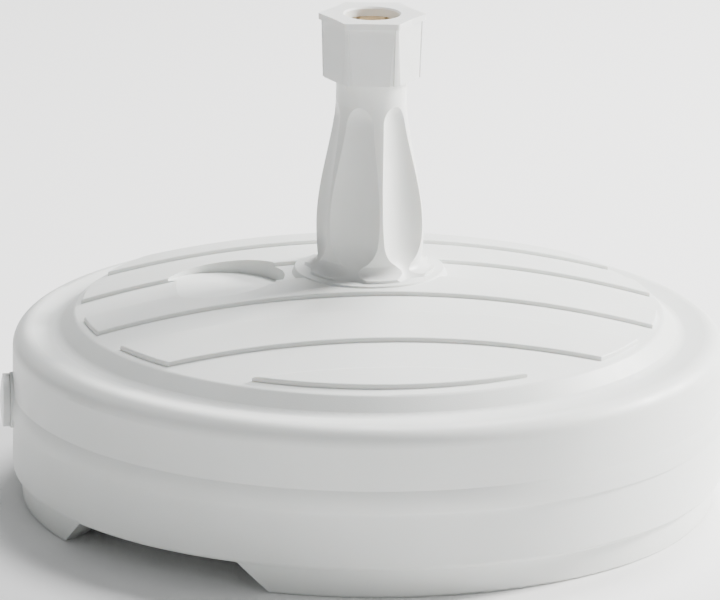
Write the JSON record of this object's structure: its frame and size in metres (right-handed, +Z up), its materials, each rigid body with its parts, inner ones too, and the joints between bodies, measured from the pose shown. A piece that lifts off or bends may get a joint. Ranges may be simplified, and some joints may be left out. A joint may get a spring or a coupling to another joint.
{
  "type": "parasol base",
  "caption": "Round hollow parasol base to fill with water or sand, with a fluted neck, a pole-clamping nut and a filler cap.",
  "frame": {"origin": "floor under the middle of the assembly, on the pole's axis; the filler cap stands out at -X, so the box's middle is 3.6 mm from the axis", "axes": "+Z up along the pole's axis, front towards -Y, filler cap at -X"},
  "size_m": [0.5072, 0.5, 0.3444],
  "materials": {
    "tank_plastic": "fine grain",
    "neck_plastic": "satin",
    "nut_plastic": "satin",
    "collet_plastic": "matt",
    "seal_rubber": "matt",
    "lock_plastic": "matt"
  },
  "bodies": {
    "base": {"tank": "tank_plastic", "neck": "neck_plastic", "centre_tube": "lock_plastic", "pole_stop": "lock_plastic", "lock_nut": "lock_plastic", "lock_washer": "lock_plastic"},
    "collet": {"collet": "collet_plastic"},
    "nut": {"clamping_nut": "nut_plastic"},
    "seal": {"filler_seal": "seal_rubber"},
    "cap": {"filler_cap": "nut_plastic"}
  },
  "joints": [
    {"name": "collet_slide", "type": "slide", "parent": "base", "child": "collet", "axis": [0, 0, 1], "range_m": [-0.001, 0.0121]},
    {"name": "nut_turn", "type": "hinge", "parent": "collet", "child": "nut", "pos_m": [0, 0, 0.32], "axis": [0, 0, 1], "range_deg": [-90, 1080]},
    {"name": "seal_slide", "type": "slide", "parent": "base", "child": "seal", "axis": [-1, 0, 0], "range_m": [0, 0.0061]},
    {"name": "cap_turn", "type": "hinge", "parent": "seal", "child": "cap", "pos_m": [-0.255, 0, 0.07], "axis": [-1, 0, 0], "range_deg": [0, 720]}
  ],
  "couplings": [
    {"joint": "collet_slide", "follows": "nut_turn", "m_per_rad": 0.00063662},
    {"joint": "seal_slide", "follows": "cap_turn", "m_per_rad": 0.00047746}
  ]
}
